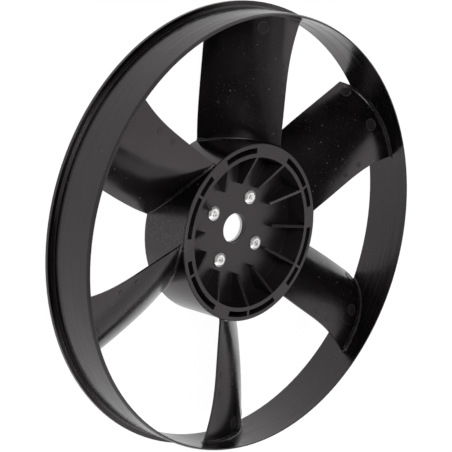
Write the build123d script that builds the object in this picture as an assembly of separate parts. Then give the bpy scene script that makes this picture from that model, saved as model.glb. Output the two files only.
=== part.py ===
from build123d import *
from math import cos, radians, sin
import os

# Axial fan impeller: one black moulding (outer ring, six twisted blades and a
# ribbed hub) riveted to a round steel mounting plate.
# Units are millimetres. The fan axis is +Z, the open ribbed front faces up,
# and the rear rim of the hub barrel stands on z = 0.

# ---------------------------------------------------------------- driving sizes
# Directions of the blades and of the hub ribs under them, counter-clockwise from +X in degrees.
# The blades stand a little off the even 60 degree pitch, which spreads the tone of the fan.
BLADE_ANGLES = (0.8, 60.0, 114.9, 182.5, 240.4, 301.1)
BLADE_RIB_ANGLES = (0.0, 60.0, 115.2, 183.4, 240.0, 300.0)
BETWEEN_RIB_ANGLES = (30.0, 90.0, 150.0, 210.0, 270.0, 330.0)
RIVET_COUNT = 4

# Hub barrel and the walls inside it
HUB_RADIUS = 82.4
HUB_HEIGHT = 50.4
HUB_DRAFT = 1.6
HUB_WALL = 4.0
SLOT_WIDTH = 5.0
INNER_WALL = 3.8
FLOOR_TOP = 28.2
FLOOR_THICKNESS = 4.0
HUB_EDGE_ROUND = 0.6

# Radial ribs on the hub floor
RIB_THICKNESS = 2.6
RIB_INNER_RADIUS = 42.5
RIB_INNER_HEIGHT = 6.5
REAR_RIB_DROP = 11.0
REAR_RIB_TO_PLATE = 2.0

# Solid blocks in the slot, each under the front end of one blade root; one fills its whole bay
BLOCK_SPAN = 14.5
FULL_BLOCK_ANGLE = 330.0
FULL_BLOCK_SPAN = 30.0
WEB_THICKNESS = 2.4

# Outer ring, with a turned-out flange on its rear edge
RING_RADIUS = 200.0
RING_WALL = 2.3
RING_REAR = 18.5
RING_DEPTH = 48.5
RING_DRAFT = 1.3
RIM_BEVEL = 1.2
FLANGE_WIDTH = 5.4
FLANGE_THICKNESS = 3.0
FLANGE_FILLET = 2.0

# Blades: where the two edges run in plan, how thick the plate is and how it bends.
# Each blade is lofted a little past the hub wall and the ring, then cut back to them.
BLADE_THICKNESS = 3.2
BLADE_EDGE_THICKNESS = 1.8
REAR_EDGE_ROOT_OFFSET = 28.9
REAR_EDGE_TIP_OFFSET = 34.4
REAR_EDGE_BOW_POWER = 4
FRONT_EDGE_ROOT_OFFSET = 31.6
FRONT_EDGE_TIP_OFFSET = 34.8
FRONT_EDGE_SWEEP = 13.0
FRONT_EDGE_SWEEP_START = 133.0
BLADE_FRONT_HEIGHT = 47.6
ROOT_REAR_HEIGHT = 0.8
TIP_REAR_HEIGHT = 7.8
ROOT_CAMBER_DROP = 0.22
TIP_CAMBER_DROP = 0.0
ROOT_CAMBER_PLACE = 0.50
TIP_CAMBER_PLACE = 0.80
TIP_CORNER_RADIUS = 197.5
BLADE_STATIONS = 6
BLADE_SPAN_START = 72.0
BLADE_OVERRUN = 4.0

# Steel mounting plate behind the hub floor
PLATE_RADIUS = 44.0
PLATE_THICKNESS = 3.0
SHAFT_BORE_RADIUS = 13.5
FLOOR_BORE_CLEARANCE = 0.6

# Rivets that hold the plate
RIVET_CIRCLE_RADIUS = 32.4
RIVET_SHANK_RADIUS = 3.2
RIVET_HOLE_CLEARANCE = 0.15
RIVET_HEAD_RADIUS = 6.7
RIVET_HEAD_HEIGHT = 2.2
RIVET_HEAD_EDGE = 1.0
RIVET_CROWN_RADIUS = 4.6
RIVET_TAIL_RADIUS = 5.4
RIVET_TAIL_HEIGHT = 2.2
RIVET_START_ANGLE = 60.0

# ---------------------------------------------------------------- derived sizes
FLOOR_BOTTOM = FLOOR_TOP - FLOOR_THICKNESS
PLATE_BOTTOM = FLOOR_BOTTOM - PLATE_THICKNESS
SLOT_OUTER_RADIUS = HUB_RADIUS - HUB_WALL
SLOT_INNER_RADIUS = SLOT_OUTER_RADIUS - SLOT_WIDTH
RECESS_RADIUS = SLOT_INNER_RADIUS - INNER_WALL
RING_FRONT = RING_REAR + RING_DEPTH
BLADE_ROOT_RADIUS = HUB_RADIUS - HUB_WALL / 2
RIVET_HOLE_RADIUS = RIVET_SHANK_RADIUS + RIVET_HOLE_CLEARANCE
BLADE_SPAN_END = RING_RADIUS + BLADE_OVERRUN


def revolved(points):
    """Solid of revolution about the fan axis from (radius, height) corners."""
    outline = Polyline(*[(r, 0, z) for r, z in points], close=True)
    return revolve(make_face(outline), axis=Axis.Z)


def disc(radius, bottom, height):
    """Plain cylinder on the fan axis."""
    return Pos(0, 0, bottom) * Cylinder(radius, height, align=(Align.CENTER, Align.CENTER, Align.MIN))


def tube(outer, inner, bottom, height):
    """Round wall on the fan axis."""
    return disc(outer, bottom, height) - disc(inner, bottom - 1, height + 2)


def turned(shape, angles):
    """Copies of a shape turned about the fan axis."""
    return [Rot(0, 0, angle) * shape for angle in angles]


# ---------------------------------------------------------------- outer ring
def ring_section():
    """Half section of the ring: drafted wall, bevelled front rim, rear flange."""
    inner_front = RING_RADIUS - RING_WALL
    inner_rear = inner_front + RING_DRAFT
    outer_rear = RING_RADIUS + RING_DRAFT
    flange_top = RING_REAR + FLANGE_THICKNESS
    corner = [
        (inner_rear, RING_REAR),
        (outer_rear + FLANGE_WIDTH, RING_REAR),
        (outer_rear + FLANGE_WIDTH, flange_top),
        (outer_rear + FLANGE_FILLET, flange_top),
        (outer_rear, flange_top + FLANGE_FILLET),
        (RING_RADIUS, RING_FRONT - 2 * RIM_BEVEL),
        (RING_RADIUS - RIM_BEVEL, RING_FRONT),
        (inner_front, RING_FRONT),
    ]
    return corner


def make_ring():
    return revolved(ring_section())


# ---------------------------------------------------------------- hub
def make_hub_shell():
    """Barrel, inner wall and floor, before the ribs and blocks go in."""
    barrel = revolved([
        (SLOT_OUTER_RADIUS + HUB_DRAFT, 0),
        (HUB_RADIUS + HUB_DRAFT, 0),
        (HUB_RADIUS, HUB_HEIGHT - HUB_EDGE_ROUND),
        (HUB_RADIUS - HUB_EDGE_ROUND, HUB_HEIGHT),
        (SLOT_OUTER_RADIUS, HUB_HEIGHT),
    ])
    inner = tube(SLOT_INNER_RADIUS, RECESS_RADIUS, FLOOR_BOTTOM, HUB_HEIGHT - FLOOR_BOTTOM)
    floor = disc(SLOT_OUTER_RADIUS + HUB_WALL / 2, FLOOR_BOTTOM, FLOOR_THICKNESS)
    return barrel + inner + floor


def front_rib():
    """Sloping gusset from the floor up to the inner wall, along +X."""
    outer = RECESS_RADIUS + INNER_WALL / 2
    side = Polyline(
        (RIB_INNER_RADIUS, 0, FLOOR_TOP - FLOOR_THICKNESS / 2),
        (outer, 0, FLOOR_TOP - FLOOR_THICKNESS / 2),
        (outer, 0, HUB_HEIGHT),
        (RECESS_RADIUS, 0, HUB_HEIGHT),
        (RIB_INNER_RADIUS, 0, FLOOR_TOP + RIB_INNER_HEIGHT),
        close=True,
    )
    return extrude(make_face(side), RIB_THICKNESS / 2, dir=(0, 1, 0), both=True)


def rear_rib():
    """Flat rib under the floor, from the plate seat out to the barrel."""
    inner = PLATE_RADIUS + REAR_RIB_TO_PLATE
    outer = SLOT_OUTER_RADIUS + HUB_WALL / 2
    length = outer - inner
    height = REAR_RIB_DROP + FLOOR_THICKNESS / 2
    middle = (inner + length / 2, 0, FLOOR_BOTTOM - REAR_RIB_DROP + height / 2)
    return Pos(*middle) * Box(length, RIB_THICKNESS, height)


def slot_web():
    """Thin web across the slot, in line with a rib along +X."""
    inner = SLOT_INNER_RADIUS - INNER_WALL / 2
    outer = SLOT_OUTER_RADIUS + HUB_WALL / 2
    height = HUB_HEIGHT - FLOOR_TOP + FLOOR_THICKNESS / 2
    middle = ((inner + outer) / 2, 0, HUB_HEIGHT - height / 2)
    return Pos(*middle) * Box(outer - inner, WEB_THICKNESS, height)


def slot_block(span):
    """Solid block that fills the slot on the +Y side of a rib along +X, over an angle."""
    inner = SLOT_INNER_RADIUS - INNER_WALL / 2
    outer = SLOT_OUTER_RADIUS + HUB_WALL / 2
    height = HUB_HEIGHT - FLOOR_TOP + FLOOR_THICKNESS / 2
    ring = tube(outer, inner, HUB_HEIGHT - height, height)
    reach = 2 * outer
    a, b = -WEB_THICKNESS / 2 / outer, radians(span)
    corners = [(0, 0), (reach * cos(a), reach * sin(a)), (reach * cos(b), reach * sin(b))]
    wedge = extrude(make_face(Polyline(*corners, close=True)), HUB_HEIGHT * 2)
    return ring & wedge


def make_hub():
    hub = make_hub_shell()
    ribs = turned(front_rib(), BLADE_RIB_ANGLES + BETWEEN_RIB_ANGLES)
    rear_ribs = turned(rear_rib(), BLADE_RIB_ANGLES)
    webs = turned(slot_web(), BLADE_RIB_ANGLES)
    blocks = turned(slot_block(BLOCK_SPAN), BETWEEN_RIB_ANGLES)
    blocks += turned(slot_block(FULL_BLOCK_SPAN), [FULL_BLOCK_ANGLE])
    return hub + ribs + rear_ribs + webs + blocks


# ---------------------------------------------------------------- blades
def span_share(x):
    """0 at the hub surface, 1 at the ring."""
    return (x - HUB_RADIUS) / (RING_RADIUS - HUB_RADIUS)


def rear_edge(x):
    """Rear edge of the blade along +X: sideways offset and height at station x."""
    u = span_share(x)
    offset = REAR_EDGE_TIP_OFFSET - (REAR_EDGE_TIP_OFFSET - REAR_EDGE_ROOT_OFFSET) * (1 - u) ** REAR_EDGE_BOW_POWER
    height = TIP_REAR_HEIGHT - (TIP_REAR_HEIGHT - ROOT_REAR_HEIGHT) * (1 - u) ** 2
    return offset, height


def front_edge(x):
    """Front edge of the blade along +X: nearly straight, then swept near the tip."""
    past = max(x - FRONT_EDGE_SWEEP_START, 0) / (RING_RADIUS - FRONT_EDGE_SWEEP_START)
    straight = FRONT_EDGE_ROOT_OFFSET + (FRONT_EDGE_TIP_OFFSET - FRONT_EDGE_ROOT_OFFSET) * span_share(x)
    return -straight - FRONT_EDGE_SWEEP * past ** 2, BLADE_FRONT_HEIGHT


def blade_section(x):
    """Cambered plate section in the plane at station x, as one closed face."""
    u = span_share(x)
    rear = Vector(*rear_edge(x))
    front = Vector(*front_edge(x))
    place = ROOT_CAMBER_PLACE + (TIP_CAMBER_PLACE - ROOT_CAMBER_PLACE) * u
    drop = ROOT_CAMBER_DROP + (TIP_CAMBER_DROP - ROOT_CAMBER_DROP) * u
    bend = Vector(
        front.X + (rear.X - front.X) * place,
        front.Y + (rear.Y - front.Y) * drop,
    )

    def shifted(point, along, side, thickness):
        normal = Vector(-along.Y, along.X).normalized()
        return point + normal * (side * thickness / 2)

    def skin(side):
        return [
            shifted(front, bend - front, side, BLADE_EDGE_THICKNESS),
            shifted(bend, rear - front, side, 2 * BLADE_THICKNESS - BLADE_EDGE_THICKNESS),
            shifted(rear, rear - bend, side, BLADE_EDGE_THICKNESS),
        ]

    def placed(points):
        return [(x, p.X, p.Y) for p in points]

    upper, lower = placed(skin(1)), placed(skin(-1))
    outline = [
        Bezier(*upper),
        Line(upper[-1], lower[-1]),
        Bezier(*reversed(lower)),
        Line(lower[0], upper[0]),
    ]
    return make_face(outline)


def blade_room():
    """Space between the middle of the barrel wall and the middle of the ring wall."""
    wall = RING_RADIUS - RING_WALL / 2
    return revolved([
        (BLADE_ROOT_RADIUS, 0),
        (TIP_CORNER_RADIUS, 0),
        (TIP_CORNER_RADIUS, TIP_REAR_HEIGHT),
        (wall + RING_DRAFT, RING_REAR),
        (wall, RING_FRONT),
        (BLADE_ROOT_RADIUS, RING_FRONT),
    ])


def make_blade():
    step = (BLADE_SPAN_END - BLADE_SPAN_START) / (BLADE_STATIONS - 1)
    stations = [BLADE_SPAN_START + i * step for i in range(BLADE_STATIONS)]
    return loft([blade_section(x) for x in stations]) & blade_room()


# ---------------------------------------------------------------- whole pieces
def rivet_places():
    turn = 360.0 / RIVET_COUNT
    return [Rot(0, 0, RIVET_START_ANGLE + i * turn) * Pos(RIVET_CIRCLE_RADIUS, 0, 0) for i in range(RIVET_COUNT)]


def make_impeller():
    blade = make_blade()
    body = make_ring() + make_hub()
    body += turned(blade, BLADE_ANGLES)
    body -= disc(SHAFT_BORE_RADIUS + FLOOR_BORE_CLEARANCE, FLOOR_BOTTOM - 1, FLOOR_THICKNESS + 2)
    hole = disc(RIVET_HOLE_RADIUS, FLOOR_BOTTOM - 1, FLOOR_THICKNESS + 2)
    return body - [place * hole for place in rivet_places()]


def make_mounting_plate():
    plate = disc(PLATE_RADIUS, PLATE_BOTTOM, PLATE_THICKNESS)
    plate -= disc(SHAFT_BORE_RADIUS, PLATE_BOTTOM - 1, PLATE_THICKNESS + 2)
    hole = disc(RIVET_HOLE_RADIUS, PLATE_BOTTOM - 1, PLATE_THICKNESS + 2)
    return plate - [place * hole for place in rivet_places()]


def make_rivet():
    """Low head with a sloping shoulder on the floor, shank, and the closed tail under the plate."""
    crown = FLOOR_TOP + RIVET_HEAD_HEIGHT
    edge = FLOOR_TOP + RIVET_HEAD_EDGE
    head = revolved([
        (0, FLOOR_TOP),
        (RIVET_HEAD_RADIUS, FLOOR_TOP),
        (RIVET_HEAD_RADIUS, edge),
        (RIVET_CROWN_RADIUS, crown),
        (0, crown),
    ])
    shank = disc(RIVET_SHANK_RADIUS, PLATE_BOTTOM, FLOOR_TOP - PLATE_BOTTOM)
    tail = disc(RIVET_TAIL_RADIUS, PLATE_BOTTOM - RIVET_TAIL_HEIGHT, RIVET_TAIL_HEIGHT)
    return head + shank + tail


def main():
    os.makedirs("parts", exist_ok=True)
    rivet = make_rivet()
    pieces = {
        "impeller": make_impeller(),
        "mounting_plate": make_mounting_plate(),
        "rivets": Compound(children=[place * rivet for place in rivet_places()]),
    }
    for name, shape in pieces.items():
        export_step(shape, f"parts/{name}.step")
        print(name, len(shape.solids()), "solid(s)", round(shape.volume), "mm3", shape.bounding_box().size)


main()
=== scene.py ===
# %% [markdown]
# # Axial fan impeller
# The object is a ring fan: one black moulding with six twisted blades between a ribbed hub and a thin outer
# ring. Four bright rivets clamp it to a round steel plate behind the hub floor. It lies on the rear rim of
# its hub with the open front upwards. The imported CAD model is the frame: it has the main shapes and sizes.
# This notebook gives it its finishes, the small forms a mould leaves behind, a floor, light and a camera.

# %% Load the frame
import math
import bmesh
import bpy
from mathutils import Matrix, Vector
from mathutils.bvhtree import BVHTree


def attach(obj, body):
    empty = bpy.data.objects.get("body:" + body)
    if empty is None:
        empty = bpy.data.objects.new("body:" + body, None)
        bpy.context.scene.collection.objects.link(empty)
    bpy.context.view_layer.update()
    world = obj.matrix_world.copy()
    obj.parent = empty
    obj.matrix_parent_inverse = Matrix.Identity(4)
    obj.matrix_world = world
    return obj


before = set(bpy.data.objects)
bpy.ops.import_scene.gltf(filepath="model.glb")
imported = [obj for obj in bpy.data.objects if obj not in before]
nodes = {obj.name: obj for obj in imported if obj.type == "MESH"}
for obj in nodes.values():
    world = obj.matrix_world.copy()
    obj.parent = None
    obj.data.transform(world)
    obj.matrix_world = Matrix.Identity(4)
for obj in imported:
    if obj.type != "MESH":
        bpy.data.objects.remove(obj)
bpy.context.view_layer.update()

# %% [markdown]
# ## A short way to write node trees
# Materials and Geometry Nodes trees are both graphs. A small helper that adds a node, sets its options and
# plugs in its inputs keeps each recipe readable: a value is typed in, and a socket is linked.

# %% Node helper
def add(tree, kind, options=None, **inputs):
    """A new node. An input is given by its name, or as _0, _1 and so on by its number."""
    node = tree.nodes.new(kind)
    for name, value in (options or {}).items():
        setattr(node, name, value)
    for name, value in inputs.items():
        socket = node.inputs[int(name[1:])] if name[0] == "_" else node.inputs[name.replace("_", " ")]
        if isinstance(value, bpy.types.NodeSocket):
            tree.links.new(value, socket)
        else:
            socket.default_value = value
    return node


def math_node(tree, operation, first, second=0.0):
    return add(tree, "ShaderNodeMath", {"operation": operation}, _0=first, _1=second).outputs[0]


def ramp(tree, value, low, high, start=0.0, end=1.0):
    """start where the value is under low, end over high, and a soft step between."""
    return add(tree, "ShaderNodeMapRange", {"interpolation_type": "SMOOTHSTEP"}, Value=value,
               From_Min=low, From_Max=high, To_Min=start, To_Max=end).outputs["Result"]


def mix_color(tree, share, first, second):
    return add(tree, "ShaderNodeMix", {"data_type": "RGBA"}, _0=share, _6=first, _7=second).outputs[2]


def mix_value(tree, share, first, second):
    return add(tree, "ShaderNodeMix", {"data_type": "FLOAT"}, _0=share, _2=first, _3=second).outputs[0]


def new_material(name):
    material = bpy.data.materials.new(name)
    material.use_nodes = True
    return material, material.node_tree, material.node_tree.nodes["Principled BSDF"]


print("node helper ready")

# %% [markdown]
# ## Places and patterns
# Every finish below is made of a few patterns: a cloudy noise, the same noise drawn out into lines, and soft
# round patches at chosen places. They read Object coordinates, because those have a real scale in metres and
# need no image. Where a noise is read in height and in angle round the axis, it becomes long streaks that run
# round the ring, as a turned mould leaves them.

# %% Patterns
# the share of a round patch's reach within which it is at its full strength
PATCH_CORE = 0.4
# metres of noise per radian round the axis: little, so that a streak is long
STREAK_DRIFT = 0.0022


def object_position(tree):
    return add(tree, "ShaderNodeTexCoord").outputs["Object"]


def noise(tree, position, scale, detail, rough=0.5):
    return add(tree, "ShaderNodeTexNoise", Vector=position, Scale=scale, Detail=detail,
               Roughness=rough).outputs["Fac"]


def squeezed(tree, position, x, y, z):
    """The position with one direction squeezed, which draws a noise out into lines."""
    return add(tree, "ShaderNodeVectorMath", {"operation": "MULTIPLY"}, _0=position, _1=(x, y, z)).outputs[0]


def plan_radius(tree, position):
    flat = squeezed(tree, position, 1, 1, 0)
    return add(tree, "ShaderNodeVectorMath", {"operation": "LENGTH"}, _0=flat).outputs["Value"]


def round_the_ring(tree, position):
    """Coordinates in which a noise becomes long streaks that run round the fan axis."""
    parts = add(tree, "ShaderNodeSeparateXYZ", Vector=position).outputs
    turn = math_node(tree, "ARCTAN2", parts["Y"], parts["X"])
    drift = math_node(tree, "MULTIPLY", turn, STREAK_DRIFT)
    return add(tree, "ShaderNodeCombineXYZ", X=parts["Z"], Y=drift, Z=0.0).outputs[0]


def near_point(tree, position, x, y, reach, stretch=1.0):
    """1 around a place in plan, 0 further away than reach, or than reach times stretch along Y."""
    flat = squeezed(tree, position, 1, 1 / stretch, 0)
    centre = (x, y / stretch, 0)
    away = add(tree, "ShaderNodeVectorMath", {"operation": "DISTANCE"}, _0=flat, _1=centre).outputs["Value"]
    return ramp(tree, away, PATCH_CORE * reach, reach, 1.0, 0.0)


def near_any(tree, position, places):
    """1 around each of the places, which are given as near_point takes them."""
    near = 0.0
    for place in places:
        near = math_node(tree, "MAXIMUM", near, near_point(tree, position, *place))
    return near


print("a round patch is full up to", PATCH_CORE, "of its reach")

# %% [markdown]
# No real edge is quite sharp. A Bevel node softens how each edge is shaded, by about half a millimetre, and
# leaves the shape alone. On the plastic and the zinc, bumps lie on top of that soft direction, and where
# there are several, each lies on the one before it.

# %% Soft edges and bumps
EDGE_SOFTNESS = 0.0006
EDGE_SAMPLES = 4


def soft_normal(tree):
    """The surface's direction with every sharp edge rounded a little."""
    return add(tree, "ShaderNodeBevel", {"samples": EDGE_SAMPLES}, Radius=EDGE_SOFTNESS).outputs[0]


def bump(tree, height, relief, invert=False, **below):
    """relief is the bump's strength and its depth in metres. Normal, if given, is what it lies on top of."""
    strength, depth = relief
    return add(tree, "ShaderNodeBump", {"invert": invert}, Strength=strength, Distance=depth, Height=height,
               **below).outputs[0]


print("edges softened by", EDGE_SOFTNESS, "m")

# %% [markdown]
# ## Moulded plastic
# Such a body is usually glass-filled nylon, injection moulded and dyed black. The blades and the ring come
# off a polished steel, so they are smooth and dark and show soft reflections. The hub's face comes off a
# spark-eroded steel, so it is sandy, matt and a little greyer. One material does both: it measures the
# distance from the fan axis and changes finish at the barrel. Use leaves pale dust and a gritty patch on the
# barrel. A painted highlight lightens the sharp edges in patches. The small discs that ejector pins strike
# are duller and greyer than the blade round them, so they have a second version of the same material.

# %% Finish of the plastic
# distances from the fan axis at which the finish changes, and over how wide a band, in metres
HUB_FACE_RADIUS = 0.0822
HUB_FACE_BLEND = 0.0002
RING_ZONE_RADIUS = 0.190
RING_ZONE_BLEND = 0.006
# grains, lines and waves per metre
PATCHES = 22.0
WAVES = 38.0
SAND_GRAIN = 1500.0
DRAG_LINES = 420.0
STREAK_LINES = 620.0
GRIT_GRAIN = 2100.0
# how little the drag lines change with height, how broken up the streaks are, and how many times more than
# the drag lines the streaks count in the relief
DRAG_SQUEEZE = 0.04
STREAK_BREAKUP = 0.65
STREAK_WEIGHT = 2.5
# a patch of grit on the barrel: its place in plan and its reach
GRITTY_PLACE = (0.004, 0.086, 0.021)
POLISHED_BLACK = (0.0036, 0.0031, 0.0033, 1)
WORN_BLACK = (0.0055, 0.0048, 0.0051, 1)
SANDY_BLACK = (0.0125, 0.0110, 0.0116, 1)
SANDY_GREY = (0.0260, 0.0230, 0.0240, 1)
DUST = (0.30, 0.28, 0.285, 1)
GRIT = (0.34, 0.32, 0.325, 1)
# a painted highlight: the paler colour that sharp edges are painted with
PAINTED_EDGE_HIGHLIGHT = (0.075, 0.067, 0.070, 1)
WARM_GLOSS = (1.0, 0.885, 0.925, 1)
GLOSS_LEVEL = 0.54
# each step: the values between which it runs and, where it isn't 0 to 1, what it gives at each end
WORN_STEP = (0.35, 0.70)
GREY_STEP = (0.30, 0.70)
GRIT_STEP = (0.60, 0.68)
SHARP_EDGE_STEP = (0.80, 0.99, 1.0, 0.0)
# in which patches the painted highlight on sharp edges shows, and how strongly
EDGE_HIGHLIGHT_STEP = (0.35, 0.60, 0.25, 1.0)
BLADE_ROUGHNESS = (0.30, 0.75, 0.17, 0.25)
RING_ROUGHNESS = (0.35, 0.68, 0.13, 0.36)
SANDY_ROUGHNESS = (0.25, 0.75, 0.30, 0.46)
DUSTY_EXTRA_ROUGHNESS = 0.05
SPECK_ROUGHNESS = 0.8
STRUCK_ROUGHNESS = 0.45
STRUCK_GREY_SHARE = 0.5
STRUCK_ROUGH_SHARE = 0.6
# strength and depth in metres of each bump, from the widest to the finest
WAVY_RELIEF = (0.22, 0.0012)
LINE_RELIEF = (0.05, 0.0004)
SAND_RELIEF = (0.5, 0.00012)
DUST_RELIEF = (0.5, 0.0002)
print("finish changes at", HUB_FACE_RADIUS, "and", RING_ZONE_RADIUS, "m from the axis")

# %% [markdown]
# Dust gathers in some places more than in others: on four of the blades, with a row of specks across the
# first one, and in the corner between a blade root and the barrel. There are four kinds of speck, from few
# and large to many and fine. For each kind a cell texture gives one speck to a cell, a random number for the
# cell decides whether it shows, a second one how pale it is, and the dusty places lower the bar for showing.

# %% Dust specks
# place in plan, reach and, for the row of specks, how many times longer the place is along Y
DUSTY_PLACES = (
    (0.110, -0.125, 0.060),
    (0.060, -0.115, 0.050),
    (0.012, 0.086, 0.030),
    (0.155, 0.005, 0.030),
    (0.120, 0.000, 0.040),
    (-0.078, -0.140, 0.045),
    (-0.140, -0.005, 0.030),
    (0.1555, 0.006, 0.005, 6.0),
)
# cells per metre, bar in clean places, bar in dusty places, how pale the specks are
SPECK_KINDS = (
    (190.0, 0.995, 0.945, 0.20),
    (330.0, 0.990, 0.935, 0.70),
    (760.0, 0.975, 0.800, 0.45),
    (1500.0, 0.970, 0.620, 0.36),
)
# steps again: how a speck fades away from the middle of its cell, and the faintest and palest it may be
SPECK_SHAPE = (0.05, 0.30, 1.0, 0.0)
SPECK_STRENGTH = (0.0, 1.0, 0.25, 1.0)


def dust_specks(tree, position):
    dusty = near_any(tree, position, DUSTY_PLACES)
    specks = 0.0
    for cells_per_metre, clean_bar, dusty_bar, paleness in SPECK_KINDS:
        cells = add(tree, "ShaderNodeTexVoronoi", Vector=position, Scale=cells_per_metre, Randomness=1.0)
        chance, pallor = add(tree, "ShaderNodeSeparateColor", Color=cells.outputs["Color"]).outputs[:2]
        bar = ramp(tree, dusty, 0.0, 1.0, clean_bar, dusty_bar)
        shows = math_node(tree, "GREATER_THAN", chance, bar)
        spot = ramp(tree, cells.outputs["Distance"], *SPECK_SHAPE)
        strength = math_node(tree, "MULTIPLY", ramp(tree, pallor, *SPECK_STRENGTH), paleness)
        shown = math_node(tree, "MULTIPLY", math_node(tree, "MULTIPLY", spot, shows), strength)
        specks = math_node(tree, "MAXIMUM", specks, shown)
    return specks, dusty


print("dusty places:", len(DUSTY_PLACES), "kinds of speck:", len(SPECK_KINDS))

# %% [markdown]
# Colour, roughness and relief each have a recipe of their own, and share the same patterns. An edge counts as
# sharp where the softened direction and the true one differ: there the plastic is painted paler, a painted
# highlight along the edge.

# %% Colour, roughness and relief of the plastic
def plastic_color(tree, position, sandy, patches, grain, specks, soft_edge, struck):
    polished = mix_color(tree, ramp(tree, patches, *WORN_STEP), POLISHED_BLACK, WORN_BLACK)
    mottled = mix_color(tree, ramp(tree, grain, *GREY_STEP), SANDY_BLACK, SANDY_GREY)
    clean = mix_color(tree, sandy, polished, mottled)
    clean = mix_color(tree, STRUCK_GREY_SHARE * struck, clean, SANDY_GREY)
    facing = add(tree, "ShaderNodeNewGeometry").outputs["Normal"]
    flatness = add(tree, "ShaderNodeVectorMath", {"operation": "DOT_PRODUCT"}, _0=soft_edge,
                   _1=facing).outputs["Value"]
    # sharp edges are painted paler in patches: a painted highlight along each edge
    sharp = ramp(tree, flatness, *SHARP_EDGE_STEP)
    painted_edge_highlight = math_node(tree, "MULTIPLY", sharp, ramp(tree, patches, *EDGE_HIGHLIGHT_STEP))
    clean = mix_color(tree, painted_edge_highlight, clean, PAINTED_EDGE_HIGHLIGHT)
    grit = ramp(tree, noise(tree, position, GRIT_GRAIN, detail=1.0), *GRIT_STEP)
    gritty = math_node(tree, "MULTIPLY", near_point(tree, position, *GRITTY_PLACE), grit)
    return mix_color(tree, specks, mix_color(tree, gritty, clean, GRIT), DUST)


def plastic_roughness(tree, sandy, on_ring, patches, grain, streaks, specks, dusty, struck):
    smooth = ramp(tree, patches, *BLADE_ROUGHNESS)
    smooth = math_node(tree, "ADD", smooth, math_node(tree, "MULTIPLY", dusty, DUSTY_EXTRA_ROUGHNESS))
    smooth = mix_value(tree, on_ring, smooth, ramp(tree, streaks, *RING_ROUGHNESS))
    rough = mix_value(tree, sandy, smooth, ramp(tree, grain, *SANDY_ROUGHNESS))
    rough = mix_value(tree, STRUCK_ROUGH_SHARE * struck, rough, STRUCK_ROUGHNESS)
    return mix_value(tree, specks, rough, SPECK_ROUGHNESS)


def plastic_relief(tree, position, sandy, on_ring, grain, streaks, specks, soft_edge):
    wavy = bump(tree, noise(tree, position, WAVES, detail=1.0), WAVY_RELIEF, Normal=soft_edge)
    lines = noise(tree, squeezed(tree, position, 1, 1, DRAG_SQUEEZE), DRAG_LINES, detail=2.0)
    lines = math_node(tree, "ADD", lines, math_node(tree, "MULTIPLY", streaks, STREAK_WEIGHT))
    drawn = bump(tree, math_node(tree, "MULTIPLY", lines, on_ring), LINE_RELIEF, Normal=wavy)
    sanded = bump(tree, math_node(tree, "MULTIPLY", grain, sandy), SAND_RELIEF, Normal=drawn)
    return bump(tree, specks, DUST_RELIEF, Normal=sanded)


print("plastic recipes ready")

# %% [markdown]
# The moulded surface and the face that an ejector pin strikes differ in one value only.

# %% Plastic
def plastic(name, struck=0.0):
    """struck is 0 for the moulded surface and 1 for the rougher face that an ejector pin leaves."""
    material, tree, surface = new_material(name)
    position = object_position(tree)
    radius = plan_radius(tree, position)
    sandy = ramp(tree, radius, HUB_FACE_RADIUS - HUB_FACE_BLEND, HUB_FACE_RADIUS + HUB_FACE_BLEND, 1.0, 0.0)
    on_ring = ramp(tree, radius, RING_ZONE_RADIUS, RING_ZONE_RADIUS + RING_ZONE_BLEND)
    patches = noise(tree, position, PATCHES, detail=4.0)
    grain = noise(tree, position, SAND_GRAIN, detail=2.0)
    streaks = noise(tree, round_the_ring(tree, position), STREAK_LINES, detail=3.0, rough=STREAK_BREAKUP)
    specks, dusty = dust_specks(tree, position)
    soft_edge = soft_normal(tree)
    color = plastic_color(tree, position, sandy, patches, grain, specks, soft_edge, struck)
    rough = plastic_roughness(tree, sandy, on_ring, patches, grain, streaks, specks, dusty, struck)
    relief = plastic_relief(tree, position, sandy, on_ring, grain, streaks, specks, soft_edge)
    tree.links.new(color, surface.inputs["Base Color"])
    tree.links.new(rough, surface.inputs["Roughness"])
    tree.links.new(relief, surface.inputs["Normal"])
    surface.inputs["Specular Tint"].default_value = WARM_GLOSS
    surface.inputs["Specular IOR Level"].default_value = GLOSS_LEVEL
    return material


black_plastic = plastic("black_plastic")
pin_struck_plastic = plastic("pin_struck_plastic", 1.0)
print("plastic nodes:", len(black_plastic.node_tree.nodes))

# %% [markdown]
# ## Steel and zinc
# The plate is rolled steel, seen only as a thin edge at the far end of the bore. The rivets are zinc plated.
# Setting them presses shallow grey dents into the middle of each head. Four dents in known places could be
# modelled, but they are a few tenths of a millimetre deep, so a dark, bumpy patch measured from the nearest
# rivet axis is enough and keeps the heads' true shape from the CAD.

# %% Finish of the metals
ROLLED_LINES = 900.0
ROLLED_SQUEEZE = 0.06
DARK_STEEL = (0.42, 0.41, 0.39, 1)
LIGHT_STEEL = (0.60, 0.59, 0.57, 1)
STEEL_ROUGHNESS = (0.2, 0.8, 0.30, 0.48)
STEEL_RELIEF = (0.15, 0.0001)
RIVET_CIRCLE = 0.0324
RIVET_ANGLES = (60, 150, 240, 330)
DENT_RADIUS = 0.0034
DENT_EDGE_STEP = (0.0, 0.5)
DENT_GRAIN = 520.0
DENT_GRAIN_STEP = (0.47, 0.56)
DENT_RELIEF = (0.6, 0.0003)
BRIGHT_ZINC = (0.95, 0.94, 0.93, 1)
DENTED_ZINC = (0.34, 0.33, 0.325, 1)
ZINC_METALLIC = 0.55
ZINC_CLOUDS = 300.0
ZINC_ROUGHNESS = (0.3, 0.7, 0.24, 0.38)
print("rivets:", len(RIVET_ANGLES), "on a circle of radius", RIVET_CIRCLE, "m")

# %% [markdown]
# The steel has fine lines from the rollers. The zinc is cloudy, with dents in the middle of each rivet head.

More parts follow.
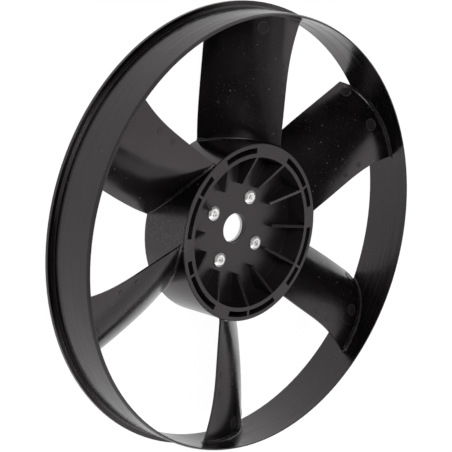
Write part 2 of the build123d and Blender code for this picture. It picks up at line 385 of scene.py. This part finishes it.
# %% Metals
def rivet_dents():
    turns = [math.radians(angle) for angle in RIVET_ANGLES]
    return [(RIVET_CIRCLE * math.cos(turn), RIVET_CIRCLE * math.sin(turn), DENT_RADIUS) for turn in turns]


def rolled_steel():
    material, tree, surface = new_material("steel_plate")
    lines = noise(tree, squeezed(tree, object_position(tree), 1, ROLLED_SQUEEZE, 1), ROLLED_LINES, detail=3.0)
    tree.links.new(mix_color(tree, lines, DARK_STEEL, LIGHT_STEEL), surface.inputs["Base Color"])
    tree.links.new(ramp(tree, lines, *STEEL_ROUGHNESS), surface.inputs["Roughness"])
    tree.links.new(bump(tree, lines, STEEL_RELIEF), surface.inputs["Normal"])
    surface.inputs["Metallic"].default_value = 1.0
    return material


def zinc():
    material, tree, surface = new_material("zinc_rivet")
    position = object_position(tree)
    middle = ramp(tree, near_any(tree, position, rivet_dents()), *DENT_EDGE_STEP)
    marks = ramp(tree, noise(tree, position, DENT_GRAIN, detail=2.0), *DENT_GRAIN_STEP)
    pressed = math_node(tree, "MULTIPLY", middle, marks)
    cloud = noise(tree, position, ZINC_CLOUDS, detail=3.0)
    dent = bump(tree, pressed, DENT_RELIEF, invert=True, Normal=soft_normal(tree))
    tree.links.new(mix_color(tree, pressed, BRIGHT_ZINC, DENTED_ZINC), surface.inputs["Base Color"])
    tree.links.new(ramp(tree, cloud, *ZINC_ROUGHNESS), surface.inputs["Roughness"])
    tree.links.new(dent, surface.inputs["Normal"])
    surface.inputs["Metallic"].default_value = ZINC_METALLIC
    return material


steel_plate = rolled_steel()
zinc_rivet = zinc()
print("metals:", steel_plate.name, zinc_rivet.name)

# %% [markdown]
# Each CAD node takes one finish. Nothing else about the nodes is touched.

# %% Dress the CAD nodes
def dress(node, material):
    nodes[node].data.materials.clear()
    nodes[node].data.materials.append(material)


dress("impeller", black_plastic)
dress("mounting_plate", steel_plate)
dress("rivets", zinc_rivet)
print("dressed:", [node.data.materials[0].name for node in nodes.values()])

# %% [markdown]
# ## The moulding as a surface to work on
# The small forms below sit on the blades, so their places are read from the moulding itself. A copy of its
# mesh is merged into one connected surface: its edges then say where a blade meets the ring or the barrel,
# and a search tree answers where a straight drop lands on a blade. The CAD mesh itself is left alone.

# %% Merged copy
MERGE_DISTANCE = 0.000002
surface_mesh = bmesh.new()
surface_mesh.from_mesh(nodes["impeller"].data)
bmesh.ops.remove_doubles(surface_mesh, verts=surface_mesh.verts, dist=MERGE_DISTANCE)
surface_mesh.normal_update()
surface_tree = BVHTree.FromBMesh(surface_mesh)
print("merged copy:", len(surface_mesh.verts), "points,", len(surface_mesh.faces), "faces")

# %% [markdown]
# ## Fillets where the blades end
# Plastic never meets in a knife-sharp inner corner: the mould is rounded there, so that the melt flows and
# the blade doesn't crack off. Each blade has such a fillet along the ring and a smaller one along the barrel,
# and its edge catches a bright line of light. A Bevel modifier can't reach an inner corner of a mesh this
# uneven, so the fillet is swept: at each point of the joint, a small concave section runs from the blade to
# the wall. A wall is known by its distance from the fan axis and by looking straight at the axis or away
# from it.

# %% Tell the walls
# the nearest and furthest that the middle of a wall's face may be from the axis, in metres
RING_WALL_RADII = (0.1965, 0.2)
BARREL_WALL_RADII = (0.0815, 0.0846)
SQUARE_ON = 0.95


def outward(face):
    """1 for a face that looks straight away from the fan axis, -1 for one that looks straight at it."""
    middle = face.calc_center_median()
    return face.normal.dot(Vector((middle.x, middle.y, 0)).normalized())


def lies_between(face, radii):
    middle = face.calc_center_median()
    return radii[0] < math.hypot(middle.x, middle.y) < radii[1]


def is_ring_wall(face):
    return lies_between(face, RING_WALL_RADII) and outward(face) < -SQUARE_ON


def is_barrel_wall(face):
    return lies_between(face, BARREL_WALL_RADII) and outward(face) > SQUARE_ON


print("faces of the ring wall:", sum(is_ring_wall(face) for face in surface_mesh.faces))
print("faces of the barrel wall:", sum(is_barrel_wall(face) for face in surface_mesh.faces))

# %% [markdown]
# A joint is an edge between a wall and a blade that rises from it. At each such edge a fillet runs off in two
# directions, one on the wall and one on the blade, both at right angles to the edge.

# %% Find the joints
LEAST_RISE = 1e-6
SHORTEST_EDGE = 1e-7
ALMOST_PARALLEL = 0.9


def across(along, face, side):
    """The direction in the face at right angles to its edge, on the side that another direction points to."""
    sideways = along.cross(face.normal)
    return sideways * (1 if sideways.dot(side) > 0 else -1)


def joint_edges(is_wall):
    """Concave edges between a wall and something else, with the two directions a fillet runs in."""
    found = []
    for edge in surface_mesh.edges:
        walls = [face for face in edge.link_faces if is_wall(face)]
        if len(edge.link_faces) != 2 or len(walls) != 1:
            continue
        wall = walls[0]
        blade = next(face for face in edge.link_faces if face is not wall)
        middle = (edge.verts[0].co + edge.verts[1].co) / 2
        rises = wall.normal.dot(blade.calc_center_median() - middle) > LEAST_RISE
        parallel = abs(wall.normal.dot(blade.normal)) > ALMOST_PARALLEL
        if not rises or parallel or edge.calc_length() < SHORTEST_EDGE:
            continue
        along = (edge.verts[1].co - edge.verts[0].co).normalized()
        found.append((edge, across(along, wall, blade.normal), across(along, blade, wall.normal)))
    return found


ring_edges = joint_edges(is_ring_wall)
barrel_edges = joint_edges(is_barrel_wall)
print("edges at the ring:", len(ring_edges), "at the barrel:", len(barrel_edges))

# %% [markdown]
# The loose edges are joined end to end, so that one bar can follow each joint. Stray runs of a few points are
# left out.

# %% Chain the edges
FEWEST_POINTS = 4


def with_directions(vert, edges):
    """The place of a point of a joint, with the averages of the directions that its edges have."""
    on_wall = sum((wall for _, wall, _ in edges), Vector()).normalized()
    on_blade = sum((blade for _, _, blade in edges), Vector()).normalized()
    return vert.co.copy(), on_wall, on_blade


def chained(found):
    """Joins loose edges into runs of points, each point with its averaged pair of directions."""
    around = {}
    for edge, on_wall, on_blade in found:
        for vert in edge.verts:
            around.setdefault(vert, []).append((edge, on_wall, on_blade))
    unused = {edge for edge, _, _ in found}
    runs = []
    while unused:
        ends = [v for v in around if len(around[v]) == 1 and around[v][0][0] in unused]
        vert = ends[0] if ends else next(iter(unused)).verts[0]
        run = [vert]
        while True:
            step = next((edge for edge, _, _ in around[vert] if edge in unused), None)
            if step is None:
                break
            unused.discard(step)
            vert = step.other_vert(vert)
            run.append(vert)
        if len(run) >= FEWEST_POINTS:
            runs.append(run)
    return [[with_directions(vert, around[vert]) for vert in run] for run in runs]


ring_joints = chained(ring_edges)
barrel_joints = chained(barrel_edges)
print("joints at the ring:", [len(run) for run in ring_joints])
print("joints at the barrel:", [len(run) for run in barrel_joints])

# %% [markdown]
# Each run of points becomes a closed bar whose outer face is hollow. Its section starts on the blade, curves
# in towards the corner and ends on the wall. The hidden sides lie a hair inside the moulding, so that nothing
# flickers and no light leaks through. No point goes below the plane that the part stands on.

# %% Sweep the fillets
RING_FILLET = 0.0034
BARREL_FILLET = 0.0022
SECTION_STEPS = 6
# how far inside the moulding the hidden sides of a section lie, in metres
SINK = 0.00006
# how many times deeper than the sides the hidden corner of a section is sunk
CORNER_SINKS = 4
LOWEST_POINT = 0.0002
SMOOTH_UP_TO = math.radians(50)


def fillet_section(corner, on_wall, on_blade, size):
    sunk = corner - (on_wall + on_blade) * SINK
    start = sunk + on_blade * size
    end = sunk + on_wall * size
    section = [sunk - (on_wall + on_blade) * CORNER_SINKS * SINK]
    for i in range(SECTION_STEPS + 1):
        t = i / SECTION_STEPS
        section.append(start * (1 - t) ** 2 + sunk * (2 * t * (1 - t)) + end * t ** 2)
    for place in section:
        place.z = max(place.z, LOWEST_POINT)
    return section


def new_piece(name, mesh, material):
    mesh.materials.clear()
    mesh.materials.append(material)
    piece = bpy.data.objects.new(name, mesh)
    bpy.context.collection.objects.link(piece)
    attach(piece, "root")
    return piece


def sweep_fillets(name, joints, size):
    bars = bmesh.new()
    for run in joints:
        rows = [[bars.verts.new(place) for place in fillet_section(*point, size)] for point in run]
        for row, following in zip(rows, rows[1:]):
            for i in range(len(row)):
                j = (i + 1) % len(row)
                bars.faces.new((row[i], row[j], following[j], following[i]))
        if (run[0][0] - run[-1][0]).length > MERGE_DISTANCE:
            bars.faces.new(rows[0])
            bars.faces.new(reversed(rows[-1]))
    bmesh.ops.remove_doubles(bars, verts=bars.verts, dist=MERGE_DISTANCE / 2)
    bmesh.ops.recalc_face_normals(bars, faces=bars.faces)
    mesh = bpy.data.meshes.new(name)
    bars.to_mesh(mesh)
    bars.free()
    for polygon in mesh.polygons:
        polygon.use_smooth = True
    mesh.set_sharp_from_angle(angle=SMOOTH_UP_TO)
    piece = new_piece(name, mesh, black_plastic)
    print(name, "faces:", len(mesh.polygons))


sweep_fillets("tip_fillets", ring_joints, RING_FILLET)
sweep_fillets("root_fillets", barrel_joints, BARREL_FILLET)

# %% [markdown]
# ## Ejector pin marks
# When the mould opens, steel pins push the part off it. Each leaves a round witness mark: a disc that stands
# a little proud, with a fine raised burr round it that catches the light. Every blade was pushed in the same
# places, so this is a job for Geometry Nodes: the marks are points with a direction, and one disc and one
# burr are put on each, turned to the blade's surface.

# %% Where the pins pushed
# degrees round the axis of the six blades, which the CAD model sets a little unevenly
BLADE_ANGLES = (0.8, 60.0, 114.9, 182.5, 240.4, 301.1)
# distance along the blade, distance across it, radius of the pin
PIN_PLACES = (
    (0.1850, -0.0035, 0.0058),
    (0.1880, 0.0290, 0.0052),
    (0.1500, -0.0265, 0.0024),
    (0.1310, -0.0255, 0.0024),
)
DROP_HEIGHT = 0.1


def pin_points():
    points = []
    for angle in BLADE_ANGLES:
        turn = Matrix.Rotation(math.radians(angle), 3, "Z")
        for along, across_blade, radius in PIN_PLACES:
            above = turn @ Vector((along, across_blade, DROP_HEIGHT))
            place, normal, _, _ = surface_tree.ray_cast(above, Vector((0, 0, -1)))
            points.append((place, normal, radius))
    return points


def points_mesh(points):
    mesh = bpy.data.meshes.new("pin_points")
    mesh.from_pydata([place for place, _, _ in points], [], [])
    mesh.attributes.new("facing", "FLOAT_VECTOR", "POINT")
    mesh.attributes.new("size", "FLOAT", "POINT")
    # both are looked up again by name, because adding an attribute moves the ones made before it
    for i, (_, normal, radius) in enumerate(points):
        mesh.attributes["facing"].data[i].vector = normal
        mesh.attributes["size"].data[i].value = radius
    return mesh


pins = pin_points()
print("pin marks:", len(pins), "highest:", round(max(place.z for place, _, _ in pins), 4))

# %% [markdown]
# The tree takes its sizes and its finish from outside, by name. The disc keeps its own thickness whatever the
# mark's radius, and the burr grows with the radius.

# %% Geometry Nodes tree for the marks
MARK_INPUTS = (("Geometry", "Geometry"), ("Mark Height", "Float"), ("Rim Share", "Float"), ("Sides", "Int"),
               ("Finish", "Material"))
BURR_SIDES = 8


def named_attribute(tree, name, data_type):
    return add(tree, "GeometryNodeInputNamedAttribute", {"data_type": data_type}, Name=name).outputs[0]


def pin_mark_tree():
    """The tree, and the identifier of each of its inputs by name."""
    tree = bpy.data.node_groups.new("pin_marks", "GeometryNodeTree")
    identifiers = {}
    for name, kind in MARK_INPUTS:
        socket = tree.interface.new_socket(name, in_out="INPUT", socket_type="NodeSocket" + kind)
        identifiers[name] = socket.identifier
    tree.interface.new_socket("Geometry", in_out="OUTPUT", socket_type="NodeSocketGeometry")
    given = tree.nodes.new("NodeGroupInput").outputs
    size = named_attribute(tree, "size", "FLOAT")
    facing = named_attribute(tree, "facing", "FLOAT_VECTOR")
    turned = add(tree, "FunctionNodeAlignRotationToVector", {"axis": "Z"}, Vector=facing).outputs[0]

    def on_each_point(shape, z_scale):
        scale = add(tree, "ShaderNodeCombineXYZ", X=size, Y=size, Z=z_scale).outputs[0]
        return add(tree, "GeometryNodeInstanceOnPoints", Points=given["Geometry"], Instance=shape,
                   Rotation=turned, Scale=scale).outputs[0]

    disc = add(tree, "GeometryNodeMeshCylinder", {"fill_type": "NGON"}, Vertices=given["Sides"], Radius=1.0,
               Depth=given["Mark Height"]).outputs["Mesh"]
    circle = add(tree, "GeometryNodeCurvePrimitiveCircle", Resolution=given["Sides"], Radius=1.0)
    section = add(tree, "GeometryNodeCurvePrimitiveCircle", Resolution=BURR_SIDES, Radius=given["Rim Share"])
    burr = add(tree, "GeometryNodeCurveToMesh", Curve=circle.outputs["Curve"],
               Profile_Curve=section.outputs["Curve"]).outputs["Mesh"]
    both = tree.nodes.new("GeometryNodeJoinGeometry")
    tree.links.new(on_each_point(disc, 1.0), both.inputs[0])
    tree.links.new(on_each_point(burr, size), both.inputs[0])
    real = add(tree, "GeometryNodeRealizeInstances", Geometry=both.outputs[0]).outputs[0]
    dressed = add(tree, "GeometryNodeSetMaterial", Geometry=real, Material=given["Finish"]).outputs[0]
    tree.links.new(dressed, tree.nodes.new("NodeGroupOutput").inputs[0])
    return tree, identifiers


marks_tree, identifiers = pin_mark_tree()
print("inputs of the marks tree:", list(identifiers))

# %% [markdown]
# The tree hangs on a mesh of bare points. Its result is taken as a plain mesh, and the points are removed.
# A disc is centred on the surface, so it is made twice as thick as it stands proud.

# %% Put the marks on the blades
PIN_HEIGHT = 0.00015
RIM_SHARE = 0.075
PIN_SIDES = 40

grower = bpy.data.objects.new("pin_mark_grower", points_mesh(pins))
bpy.context.collection.objects.link(grower)
modifier = grower.modifiers.new("marks", "NODES")
modifier.node_group = marks_tree
for name, value in (("Mark Height", 2 * PIN_HEIGHT), ("Rim Share", RIM_SHARE), ("Sides", PIN_SIDES),
                    ("Finish", pin_struck_plastic)):
    modifier[identifiers[name]] = value
evaluated = grower.evaluated_get(bpy.context.evaluated_depsgraph_get())
marks_mesh = bpy.data.meshes.new_from_object(evaluated)
marks_mesh.name = "ejector_pin_marks"
grower.modifiers.clear()
bpy.data.objects.remove(grower)
marks = new_piece("ejector_pin_marks", marks_mesh, pin_struck_plastic)
print("ejector marks faces:", len(marks_mesh.polygons))

# %% [markdown]
# ## Floor
# The impeller lies on a plain white floor. To the camera, and in reflections, most of the floor's white is
# its own, so it stays clean; the rest is ordinary diffuse white, which keeps the part's soft shadow on it. A
# low wall of the same white stands round the floor, so that steep faces mirror white near the horizon too.

# %% White floor
FLOOR_SIZE = 8.0
SKIRTING_HEIGHT = 0.9
SKIRTING_SIDES = 96
FLOOR_WHITE = (0.86, 0.86, 0.86, 1)
OWN_WHITE_SHARE = 0.90
FLOOR_GLOW = 1.09


def white_floor_finish():
    material, tree, surface = new_material("white_floor")
    tree.nodes.remove(surface)
    path = add(tree, "ShaderNodeLightPath")
    seen = math_node(tree, "MAXIMUM", path.outputs["Is Camera Ray"], path.outputs["Is Glossy Ray"])
    seen = math_node(tree, "MAXIMUM", seen, path.outputs["Is Transmission Ray"])
    share = math_node(tree, "MULTIPLY", seen, OWN_WHITE_SHARE)
    paper = add(tree, "ShaderNodeBsdfDiffuse", Color=FLOOR_WHITE).outputs[0]
    glow = add(tree, "ShaderNodeEmission", Color=(1, 1, 1, 1), Strength=FLOOR_GLOW).outputs[0]
    mixed = add(tree, "ShaderNodeMixShader", _0=share, _1=paper, _2=glow).outputs[0]
    tree.links.new(mixed, tree.nodes["Material Output"].inputs[0])
    return material


white_floor = white_floor_finish()
bpy.ops.mesh.primitive_plane_add(size=FLOOR_SIZE, location=(0, 0, 0))
floor = bpy.context.object
floor.name = "studio_floor"
floor.data.materials.append(white_floor)
bpy.ops.mesh.primitive_cylinder_add(vertices=SKIRTING_SIDES, radius=FLOOR_SIZE / 2, depth=SKIRTING_HEIGHT,
                                    end_fill_type="NOTHING", location=(0, 0, SKIRTING_HEIGHT / 2))
skirting = bpy.context.object
skirting.name = "studio_skirting"
skirting.data.materials.append(white_floor)
print("floor:", FLOOR_SIZE, "m square, low white wall:", SKIRTING_HEIGHT, "m")

# %% [markdown]
# ## Studio light
# Black plastic is lit by what it mirrors more than by what it scatters, so the panels are placed by what the
# blades mirror. Three panels stand across the part from the camera, one above another. A strip and a small
# bright key panel stand on the camera's side, a second bright one stands to the side, and a faint one hangs
# nearly overhead. The rest of the room is almost dark, so a face that mirrors neither a panel nor the white
# floor stays black.

# %% Light panels
AIM_POINT = Vector((0, 0, 0.04))
PANEL_DISTANCE = 2.0
# name, direction round the axis, height above the floor in degrees, brightness, width and height in metres
PANELS = (
    ("back_wall_panel", 243, 48, 1.25, 2.3, 0.90),
    ("upper_back_panel", 254, 68, 0.55, 0.9, 0.50),
    ("low_back_panel", 232, 24, 0.68, 2.7, 0.80),
    ("front_strip", 71, 30, 0.85, 1.1, 0.45),
    ("key_panel", 46, 50, 5.00, 0.8, 0.8),
    ("side_panel", 173, 44, 5.00, 0.75, 0.75),
    ("ceiling_panel", 225, 84, 0.30, 0.7, 0.7),
)
ROOM_LIGHT = 0.05


def light_panel(name, turn, height, brightness, width, tall):
    turn, height = math.radians(turn), math.radians(height)
    towards = Vector((math.cos(height) * math.cos(turn), math.cos(height) * math.sin(turn), math.sin(height)))
    data = bpy.data.lights.new(name, "AREA")
    data.shape = "RECTANGLE"
    data.size = width
    data.size_y = tall
    data.energy = brightness * math.pi * width * tall
    panel = bpy.data.objects.new(name, data)
    bpy.context.collection.objects.link(panel)
    facing = (-towards).to_track_quat("-Z", "Y").to_matrix().to_4x4()
    panel.matrix_world = Matrix.Translation(AIM_POINT + towards * PANEL_DISTANCE) @ facing


for panel in PANELS:
    light_panel(*panel)
room = bpy.data.worlds.new("studio_room")
bpy.context.scene.world = room
room.use_nodes = True
background = room.node_tree.nodes["Background"]
background.inputs["Color"].default_value = (1, 1, 1, 1)
background.inputs["Strength"].default_value = ROOM_LIGHT
print("panels:", len(PANELS), "brightness:", [panel[3] for panel in PANELS])

# %% [markdown]
# ## Camera
# The camera looks down on the part from the side at a steep angle with a long lens. Its place, aim and roll
# put the circles of the ring, the hub, the bore and the rivets, which it sees as ellipses, where they belong
# in the frame. A shift of one pixel each way centres them.

# %% Camera
IMAGE_SIZE = 452
FOCAL_LENGTH_PX = 1422.7
SHIFT_PX = 1
SENSOR_MM = 36.0
CAMERA_PLACE = Vector((0.26558, 0.89975, 0.93669))
CAMERA_TURN = math.radians(163.503)
CAMERA_TILT = math.radians(45.614)
CAMERA_ROLL = math.radians(106.295)

camera_data = bpy.data.cameras.new("camera")
camera_data.sensor_width = SENSOR_MM
camera_data.lens = FOCAL_LENGTH_PX / IMAGE_SIZE * SENSOR_MM
camera_data.shift_x = -SHIFT_PX / IMAGE_SIZE
camera_data.shift_y = SHIFT_PX / IMAGE_SIZE
camera = bpy.data.objects.new("camera", camera_data)
bpy.context.collection.objects.link(camera)
aim = Matrix.Rotation(CAMERA_TURN, 4, "Z") @ Matrix.Rotation(CAMERA_TILT, 4, "X")
aim = aim @ Matrix.Rotation(CAMERA_ROLL, 4, "Z")
camera.matrix_world = Matrix.Translation(CAMERA_PLACE) @ aim
bpy.context.scene.camera = camera
bpy.context.scene.view_settings.view_transform = "Standard"
print("lens:", round(camera_data.lens, 1), "mm")

# %% [markdown]
# ## Clean up
# The merged copy of the moulding is no longer needed, so it is freed.

# %% Finish
surface_mesh.free()
